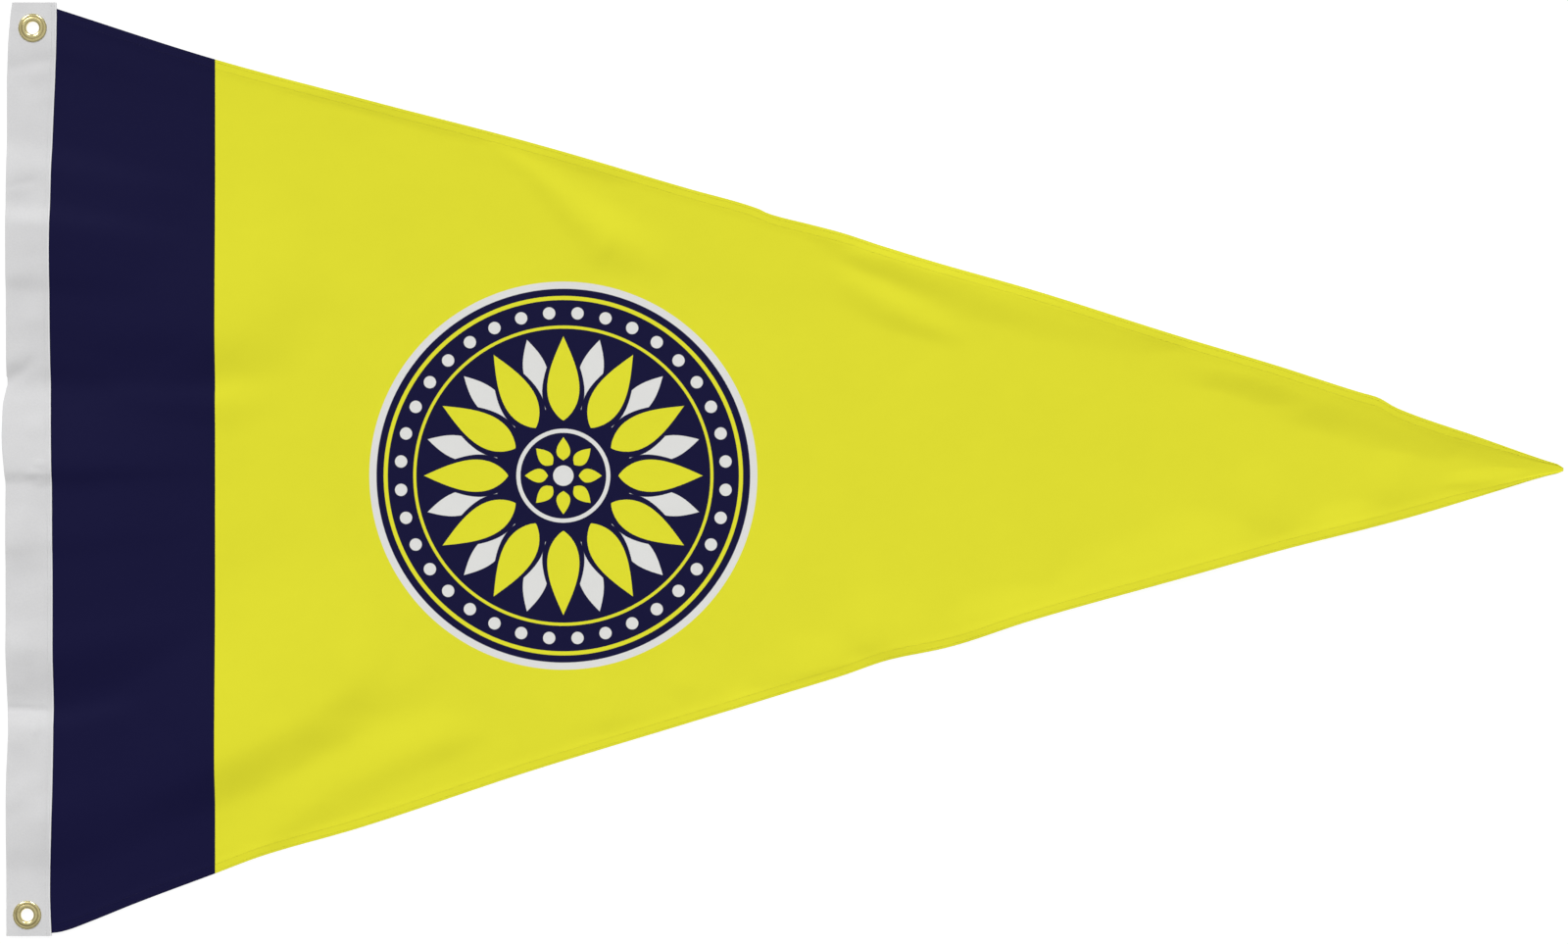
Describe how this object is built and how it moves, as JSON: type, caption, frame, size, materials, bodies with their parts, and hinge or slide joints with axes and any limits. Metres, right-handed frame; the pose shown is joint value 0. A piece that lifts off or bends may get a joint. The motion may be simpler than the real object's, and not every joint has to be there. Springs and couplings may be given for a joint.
{
  "type": "pennant flag",
  "caption": "Triangular pennant flag of printed cloth with a canvas heading tape and brass eyelets, lying flat on its back.",
  "frame": {"origin": "middle of the flag's underside, on the surface it lies on", "axes": "+X from the hoist to the tip, +Y from the lower edge to the upper edge, +Z out of the face"},
  "size_m": [1.529, 0.9138, 0.0112],
  "materials": {
    "printed_cloth": "matt woven polyester, printed",
    "canvas_tape": "matt woven canvas",
    "brass": "polished, lightly worn"
  },
  "bodies": {
    "root": {"field": "printed_cloth", "heading": "canvas_tape", "top_eyelet": "brass", "top_washer": "brass", "bottom_eyelet": "brass", "bottom_washer": "brass"}
  },
  "joints": []
}
